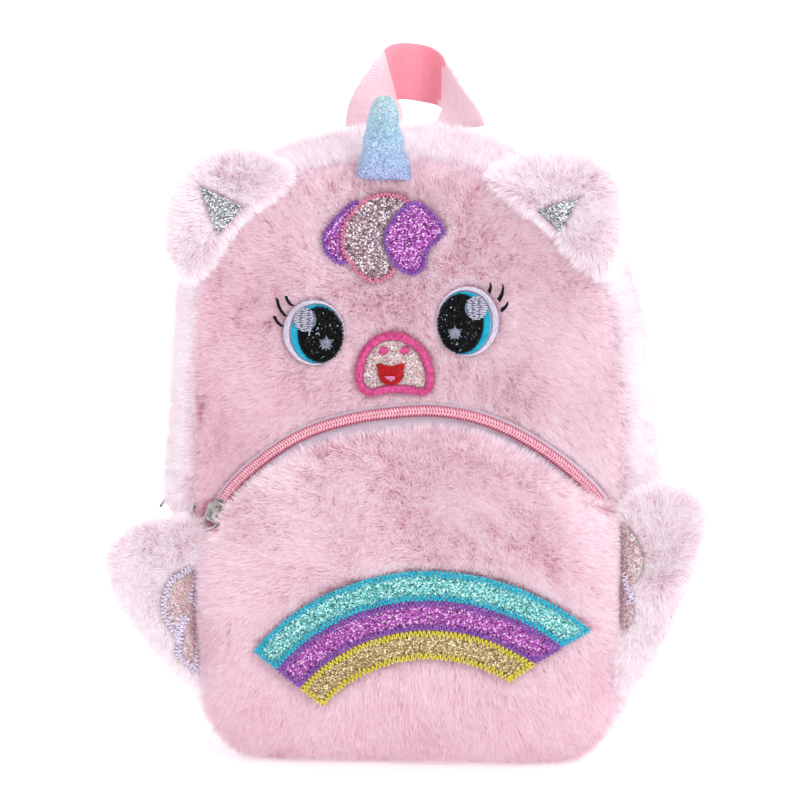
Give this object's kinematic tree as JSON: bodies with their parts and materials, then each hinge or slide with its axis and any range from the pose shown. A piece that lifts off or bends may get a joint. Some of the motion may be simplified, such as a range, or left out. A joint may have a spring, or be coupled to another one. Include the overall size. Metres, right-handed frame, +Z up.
{
  "type": "kids animal backpack",
  "caption": "Small plush backpack shaped as a unicorn head, with ears, horn, side wings, a zipped front pocket with a rainbow patch, a carry loop and padded shoulder straps.",
  "frame": {"origin": "middle of the flat base, on the surface that the bag stands on", "axes": "+Z up, -Y the way the face looks, +X to the right as seen from the front"},
  "size_m": [0.253, 0.1465, 0.31],
  "materials": {
    "fur": "long pink plush",
    "fur_pale": "long pale pink plush",
    "zip_tape": "woven tape",
    "zip_coil": "satin nylon coil",
    "metal": "plated",
    "dark_metal": "satin",
    "glitter_teal": "glitter cloth",
    "glitter_violet": "glitter cloth",
    "glitter_gold": "glitter cloth",
    "glitter_silver": "glitter cloth",
    "glitter_pale": "iridescent glitter cloth",
    "glitter_dusty": "glitter cloth",
    "glitter_horn": "iridescent glitter cloth",
    "glitter_black": "glitter cloth",
    "white_cloth": "satin cloth",
    "teal_cloth": "satin cloth",
    "grey_thread": "embroidery thread",
    "pink_thread": "embroidery thread",
    "red_thread": "embroidery thread",
    "webbing": "woven webbing",
    "adjuster": "moulded plastic"
  },
  "bodies": {
    "bag": {"front_panel": "fur", "back_panel": "fur", "gusset_front": "fur_pale", "gusset_rear": "fur_pale", "gusset_base": "fur_pale", "main_zip_tape": "zip_tape", "main_zip_coil": "zip_coil", "main_zip_slider": "dark_metal", "pocket_panel": "fur", "pocket_zip_tape": "zip_tape", "pocket_zip_coil": "zip_coil", "pocket_zip_slider": "metal", "rainbow_outer": "glitter_teal", "rainbow_middle": "glitter_violet", "rainbow_inner": "glitter_gold", "ear_left": "fur", "ear_right": "fur", "ear_inner_left": "glitter_silver", "ear_inner_right": "glitter_silver", "wing_left": "fur", "wing_right": "fur", "wing_patch_left": "glitter_pale", "wing_patch_right": "glitter_pale", "horn": "glitter_horn", "forelock_left": "glitter_violet", "forelock_middle": "glitter_dusty", "forelock_right": "glitter_violet", "eye_white_left": "white_cloth", "eye_iris_left": "teal_cloth", "eye_pupil_left": "glitter_black", "eye_glint_left": "white_cloth", "eye_star_left": "grey_thread", "eye_white_right": "white_cloth", "eye_iris_right": "teal_cloth", "eye_pupil_right": "glitter_black", "eye_glint_right": "white_cloth", "eye_star_right": "grey_thread", "muzzle_patch": "glitter_pale", "muzzle_rim": "pink_thread", "mouth": "red_thread", "tongue": "pink_thread", "carry_handle": "webbing", "strap_left": "fur", "strap_right": "fur", "adjuster_left": "adjuster", "adjuster_right": "adjuster", "strap_webbing_left": "webbing", "strap_webbing_right": "webbing"},
    "main_pull": {"main_zip_pull": "dark_metal"},
    "pocket_pull": {"pocket_zip_pull": "metal"}
  },
  "joints": [
    {"name": "main_pull_hinge", "type": "hinge", "parent": "bag", "child": "main_pull", "pos_m": [-0.10458, 0, 0.11612], "axis": [0, 1, 0], "range_deg": [0, 95]},
    {"name": "pocket_pull_hinge", "type": "hinge", "parent": "bag", "child": "pocket_pull", "pos_m": [-0.08168, -0.04695, 0.11082], "axis": [-0.9078, 0, 0.4194], "range_deg": [0, 90]}
  ]
}
